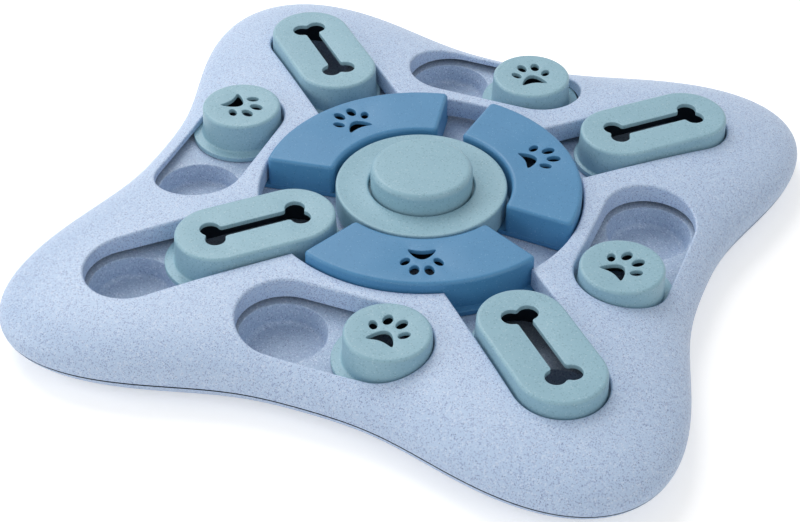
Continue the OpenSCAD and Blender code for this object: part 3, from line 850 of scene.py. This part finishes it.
hub = {"r": 38.4, "topZ": 34.4, "footR": 36.8, "underZ": 22.2, "underEdge": 0.2, "holeR": 23.8, "cavityR": 29.2,
       "lipT": 3.0, "edge": 0.9, "dish": 0.35, "edgeSteps": 6, "dishSteps": 12, "around": 192}


def makeHub():
    skin = Skin()
    r, holeR, top, edge = hub["r"], hub["holeR"], hub["topZ"], hub["edge"]
    profile = [(hub["footR"], board["floorZ"]), (hub["footR"], hub["underZ"]),
               (r - hub["underEdge"], hub["underZ"]), (r, hub["underZ"] + hub["underEdge"])]
    profile += quarter(r - edge, top - edge, edge, 0, 90, hub["edgeSteps"])
    middleR, flat = (r + holeR) / 2, r - holeR - 2 * edge
    for i in range(1, hub["dishSteps"]):
        ringR = r - edge - flat * i / hub["dishSteps"]
        profile.append((ringR, top - hub["dish"] * (1 - (2 * (ringR - middleR) / flat) ** 2)))
    profile += quarter(holeR + edge, top - edge, edge, 90, 180, hub["edgeSteps"])
    lipZ = top - hub["lipT"]
    profile += [(holeR, lipZ), (hub["cavityR"], lipZ), (hub["cavityR"], board["floorZ"])]
    rings = skin.stack(turned(0, 0, profile, hub["around"]))
    skin.band(rings[-1], rings[0])
    place("hubRing", meshFrom("hubRing", skin), coverPlastic, "board", ["hub_ring"])


button = {"r": 22.8, "top": 44.1, "round": 2.7, "roundTo": 84, "wall": 2.2, "crown": 0.25, "low": 28.2,
          "flangeR": 27.8, "flangeTop": 31.0, "plungerR": 7.0, "plungerZ": 30.3, "poleR": 3.5,
          "roundSteps": 12, "crownShares": (0.96, 0.85, 0.7, 0.5, 0.3, 0.1), "around": 160}


def makeButton():
    skin = Skin()
    r, top, rounding, wall, crown = (button[key] for key in ("r", "top", "round", "wall", "crown"))
    profile = [(button["poleR"], button["plungerZ"]), (button["plungerR"], button["plungerZ"]),
               (button["plungerR"], top - wall), (r - wall, top - wall), (r - wall, button["low"]),
               (button["flangeR"], button["low"]), (button["flangeR"], button["flangeTop"]),
               (r, button["flangeTop"])]
    profile += quarter(r - rounding, top - crown - rounding, rounding, 0, button["roundTo"], button["roundSteps"])
    lastR = profile[-1][0]
    profile += [(lastR * share, top - crown * share ** 2) for share in button["crownShares"]]
    rings = skin.stack(turned(0, 0, profile, button["around"]))
    skin.lid(rings[0])
    skin.lid(rings[-1])
    place("pushButton", meshFrom("pushButton", skin), coverPlastic, "button", ["centre_button"])


makeHub()
makeButton()
print("hub and button made")


# Sets the carrier's mesh in groups round the middle: count of sets, how many in each, and their spread
def setAroundTree():
    tree = bpy.data.node_groups.new("setAround", "GeometryNodeTree")
    face = tree.interface
    face.new_socket(name="Geometry", in_out="INPUT", socket_type="NodeSocketGeometry")
    for label, kind, value in (("Sets", "Int", 4), ("Per Set", "Int", 1), ("Radius", "Float", 0.1),
                               ("Start", "Float", 0.0), ("Spread", "Float", 0.0)):
        socket = face.new_socket(name=label, in_out="INPUT", socket_type="NodeSocket" + kind)
        socket.default_value = value
    face.new_socket(name="Material", in_out="INPUT", socket_type="NodeSocketMaterial")
    face.new_socket(name="Geometry", in_out="OUTPUT", socket_type="NodeSocketGeometry")
    nodes, links = tree.nodes, tree.links
    given = nodes.new("NodeGroupInput").outputs
    result = nodes.new("NodeGroupOutput").inputs

    def worked(operation, one, other=0):
        return mathNode(tree, operation, one, other)

    index = nodes.new("GeometryNodeInputIndex").outputs[0]
    group = worked("FLOOR", worked("DIVIDE", index, given["Per Set"]))
    inGroup = worked("MODULO", index, given["Per Set"])
    step = worked("DIVIDE", 2 * pi, given["Sets"])
    lean = worked("SUBTRACT", worked("MULTIPLY", inGroup, 2), worked("SUBTRACT", given["Per Set"], 1))
    angle = worked("ADD", worked("ADD", given["Start"], worked("MULTIPLY", group, step)),
                   worked("MULTIPLY", lean, given["Spread"]))
    position = nodes.new("ShaderNodeCombineXYZ")
    links.new(worked("MULTIPLY", worked("COSINE", angle), given["Radius"]), position.inputs[0])
    links.new(worked("MULTIPLY", worked("SINE", angle), given["Radius"]), position.inputs[1])
    points = nodes.new("GeometryNodePoints")
    links.new(worked("MULTIPLY", given["Sets"], given["Per Set"]), points.inputs["Count"])
    links.new(position.outputs[0], points.inputs["Position"])
    turn = nodes.new("ShaderNodeCombineXYZ")
    links.new(angle, turn.inputs[2])
    instances = nodes.new("GeometryNodeInstanceOnPoints")
    links.new(points.outputs[0], instances.inputs["Points"])
    links.new(given["Geometry"], instances.inputs["Instance"])
    links.new(turn.outputs[0], instances.inputs["Rotation"])
    realize = nodes.new("GeometryNodeRealizeInstances")
    links.new(instances.outputs[0], realize.inputs[0])
    paint = nodes.new("GeometryNodeSetMaterial")
    links.new(realize.outputs[0], paint.inputs["Geometry"])
    links.new(given["Material"], paint.inputs["Material"])
    links.new(paint.outputs[0], result[0])
    return tree


setAround = setAroundTree()


def setRound(name, skin, values, material, nodes):
    blank = bpy.data.objects.new(name + "Blank", meshFrom(name + "Blank", skin))
    scene.collection.objects.link(blank)
    modifier = blank.modifiers.new("setAround", "NODES")
    modifier.node_group = setAround
    wanted = dict(values, Material=material)
    for item in setAround.interface.items_tree:
        if item.in_out == "INPUT" and item.name in wanted:
            modifier[item.identifier] = wanted[item.name]
    place(name, finishedMesh(blank, name), material, "board", nodes)


screw = {"headR": 3.1, "headH": 2.2, "headRound": 1.2, "shankR": 1.5, "tipR": 0.4, "tipLong": 1.5,
         "crossWide": 0.882, "crossLong": 3.528, "crossDeep": 1.1, "crossFoot": 0.55,
         "shellLong": 14, "hubLong": 9.2, "headSteps": 6, "around": 32}


# Pan-head screw standing on its head, shank upwards, with a cross recess sunk in the head
def screwSkin(seat, length):
    skin = Skin()
    r, shankR, rounding = screw["headR"], screw["shankR"], screw["headRound"]
    under, tip = seat - screw["headH"], seat + length
    profile = [(screw["tipR"], tip), (shankR, tip - screw["tipLong"]), (shankR, seat), (r, seat)]
    profile += [(r - rounding * (1 - cos(a)), under + rounding * (1 - sin(a)))
                for a in sweep(90, screw["headSteps"])]
    rings = skin.stack(turned(0, 0, profile, screw["around"]))
    skin.lid(rings[0])
    wide, far, foot = screw["crossWide"] / 2, screw["crossLong"] / 2, screw["crossFoot"]
    corners = fourSpots([(far, -wide), (far, wide), (wide, wide)])
    mouth = [(x, y, under) for x, y in corners]
    depth = [(x * foot, y * foot, under + screw["crossDeep"]) for x, y in corners]
    cross = skin.stack([mouth, depth])
    fillBetween(skin, rings[-1], [cross[0]])
    skin.lid(cross[1])
    return skin


spread = atan2(base["screwX"], base["screwY"])
shellCircle = hypot(base["screwX"], base["screwY"]) * mm
setRound("shellScrews", screwSkin(base["seatZ"], screw["shellLong"]),
         {"Sets": 4, "Per Set": 2, "Radius": shellCircle, "Start": -pi / 2, "Spread": spread},
         screwSteel, ["shell_screws"])
setRound("hubScrews", screwSkin(board["floorZ"] - tray["wall"], screw["hubLong"]),
         {"Sets": 4, "Per Set": 1, "Radius": tray["hubScrewCircle"] * mm, "Start": 0.0, "Spread": 0.0},
         screwSteel, ["hub_screws"])

foot = {"r": 10.0, "edge": 0.9, "grooveR": 6.5, "grooveWide": 0.8, "grooveDeep": 0.5, "grooveFoot": 0.6,
        "poleR": 2, "edgeSteps": 6, "around": 64}


def footSkin():
    skin = Skin()
    r, edge, g, wide, deep = (foot[key] for key in ("r", "edge", "grooveR", "grooveWide", "grooveDeep"))
    narrow = wide * foot["grooveFoot"]
    profile = [(r, base["footTop"])] + quarter(r - edge, edge, edge, 0, -90, foot["edgeSteps"])
    profile += [(g + wide, 0), (g + narrow, deep), (g - narrow, deep), (g - wide, 0), (foot["poleR"], 0)]
    rings = skin.stack(turned(0, 0, profile, foot["around"]))
    skin.lid(rings[0])
    skin.lid(rings[-1])
    return skin


setRound("rubberFeet", footSkin(),
         {"Sets": 4, "Per Set": 1, "Radius": base["footCircle"] * mm, "Start": pi / 4, "Spread": 0.0},
         footRubber, ["rubber_feet"])
print("screws and feet made")


bellows = {"low": 10.0, "top": 30.0, "valleyR": 12.5, "foldR": 16.0, "folds": 5, "perFold": 12, "skin": 1.1,
           "neckR": 5.0, "poleR": 3, "floorT": 1.5, "slant": 1.3, "lowIn": 0.6, "lowUp": 0.5,
           "topIn": 0.3, "topDown": 0.5, "topFlat": 1, "around": 72, "sharpAngle": 60, "pressedShare": 0.6}


# Folded rubber bulb under the button, open at its neck; it is built at rest and does not flatten here
def makeBellows():
    skin = Skin()
    low, top, wall, valley = bellows["low"], bellows["top"], bellows["skin"], bellows["valleyR"]
    neckR, poleR, floorZ = bellows["neckR"], bellows["poleR"], low + bellows["floorT"]
    steps = bellows["folds"] * bellows["perFold"]
    folds = []
    for i in range(steps + 1):
        swell = (1 - cos(2 * pi * i / bellows["perFold"])) / 2
        r = valley + (bellows["foldR"] - valley) * swell
        folds.append((r, low + wall + (top - low - 2 * wall) * i / steps))
    profile = [(neckR, low), (valley - bellows["lowIn"], low), (valley, low + bellows["lowUp"])] + folds
    profile += [(valley - bellows["topIn"], top - bellows["topDown"]), (valley - bellows["topFlat"], top)]
    outside = skin.stack(turned(0, 0, profile + [(poleR, top)], bellows["around"]))
    wallIn = bellows["slant"] * wall  # the skin's width on a fold's slanting side
    profile = [(poleR, top - wall), (valley - 2 * wall, top - wall)]
    profile += [(r - wallIn, z) for r, z in folds[-3:1:-1]]
    profile += [(valley - wallIn, floorZ), (neckR, floorZ)]
    inside = skin.stack(turned(0, 0, profile, bellows["around"]))
    skin.lid(outside[-1])
    skin.lid(inside[0])
    skin.band(inside[-1], outside[0])
    piece = place("squeakerBulb", meshFrom("squeakerBulb", skin), bulbRubber, "board", ["squeaker_bellows"],
                  sharpAngle=bellows["sharpAngle"])
    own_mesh(piece)


makeBellows()
reed = frame["nodes"]["squeaker_reed"].data
reed.materials.clear()
reed.materials.append(reedPlastic)
print("squeaker made")


studio = {"floorHalf": 3.0, "white": 0.9, "floorLift": 0.42, "floorRough": 0.9, "floorGloss": 0.1, "world": 0.42,
          "lamps": {"key": {"at": (-1.15, 0.95, 1.75), "size": 1.65, "watts": 26.5},
                    "left": {"at": (-1.2, -0.6, 0.6), "size": 0.8, "watts": 4.4},
                    "front": {"at": (0.2, -1.6, 0.45), "size": 1.0, "watts": 3.2},
                    "right": {"at": (1.2, -0.5, 0.9), "size": 0.7, "watts": 2.2}}}


# One value for rays from the camera, off gloss or through glass, and another for all other rays
def seenDirectly(tree, seen, unseen):
    path = tree.nodes.new("ShaderNodeLightPath")
    direct = path.outputs["Is Camera Ray"]
    for kind in ("Is Glossy Ray", "Is Transmission Ray"):
        direct = mathNode(tree, "MAXIMUM", direct, path.outputs[kind])
    choose = tree.nodes.new("ShaderNodeMapRange")
    choose.inputs["To Min"].default_value = unseen
    choose.inputs["To Max"].default_value = seen
    tree.links.new(direct, choose.inputs["Value"])
    return choose.outputs[0]


def makeFloor():
    half = studio["floorHalf"]
    corners = [(-half, -half, 0), (half, -half, 0), (half, half, 0), (-half, half, 0)]
    mesh = bpy.data.meshes.new("studioFloor")
    mesh.from_pydata(corners, [], [(0, 1, 2, 3)])
    floor = bpy.data.objects.new("studioFloor", mesh)
    scene.collection.objects.link(floor)
    material = bpy.data.materials.new("studioPaper")
    material.use_nodes = True
    tree = material.node_tree
    shader = tree.nodes["Principled BSDF"]
    shader.inputs["Base Color"].default_value = (studio["white"],) * 3 + (1,)
    shader.inputs["Roughness"].default_value = studio["floorRough"]
    shader.inputs["Specular IOR Level"].default_value = studio["floorGloss"]
    shader.inputs["Emission Color"].default_value = (1, 1, 1, 1)
    tree.links.new(seenDirectly(tree, studio["floorLift"], 0), shader.inputs["Emission Strength"])
    mesh.materials.append(material)


def makeLamp(name, lamp):
    light = bpy.data.lights.new(name, "AREA")
    light.shape = "DISK"
    light.size = lamp["size"]
    light.energy = lamp["watts"]
    obj = bpy.data.objects.new(name, light)
    scene.collection.objects.link(obj)
    obj.location = lamp["at"]
    obj.rotation_euler = (-Vector(lamp["at"])).to_track_quat("-Z", "Y").to_euler()


def makeWorld():
    world = bpy.data.worlds.new("studio")
    world.use_nodes = True
    scene.world = world
    sky = world.node_tree.nodes["Background"]
    sky.inputs["Color"].default_value = (1, 1, 1, 1)
    world.node_tree.links.new(seenDirectly(world.node_tree, 1, studio["world"]), sky.inputs["Strength"])


camera = {"at": (230.6, -622.9, 529.4), "azimuth": 21.39, "elevation": 38.97, "roll": 0.545,
          "lens": 83.34, "sensor": 36, "shiftX": 0.0089, "shiftY": -0.0056, "clipStart": 0.01, "clipEnd": 20}


def makeCamera():
    turn, rise, roll = (radians(camera[key]) for key in ("azimuth", "elevation", "roll"))
    back = Vector((sin(turn) * cos(rise), -cos(turn) * cos(rise), sin(rise)))
    right = Vector((cos(turn), sin(turn), 0))
    up = back.cross(right)
    right, up = right * cos(roll) + up * sin(roll), up * cos(roll) - right * sin(roll)
    data = bpy.data.cameras.new("camera")
    data.lens = camera["lens"]
    data.sensor_width = camera["sensor"]
    data.shift_x = camera["shiftX"]
    data.shift_y = camera["shiftY"]
    data.clip_start = camera["clipStart"]
    data.clip_end = camera["clipEnd"]
    obj = bpy.data.objects.new("camera", data)
    scene.collection.objects.link(obj)
    pose = Matrix((right, up, back)).transposed().to_4x4()
    pose.translation = Vector(camera["at"]) * mm
    obj.matrix_world = pose
    scene.camera = obj


makeFloor()
for lampName, lamp in studio["lamps"].items():
    makeLamp(lampName + "Lamp", lamp)
makeWorld()
makeCamera()
scene.view_settings.view_transform = "Standard"
print("studio made")
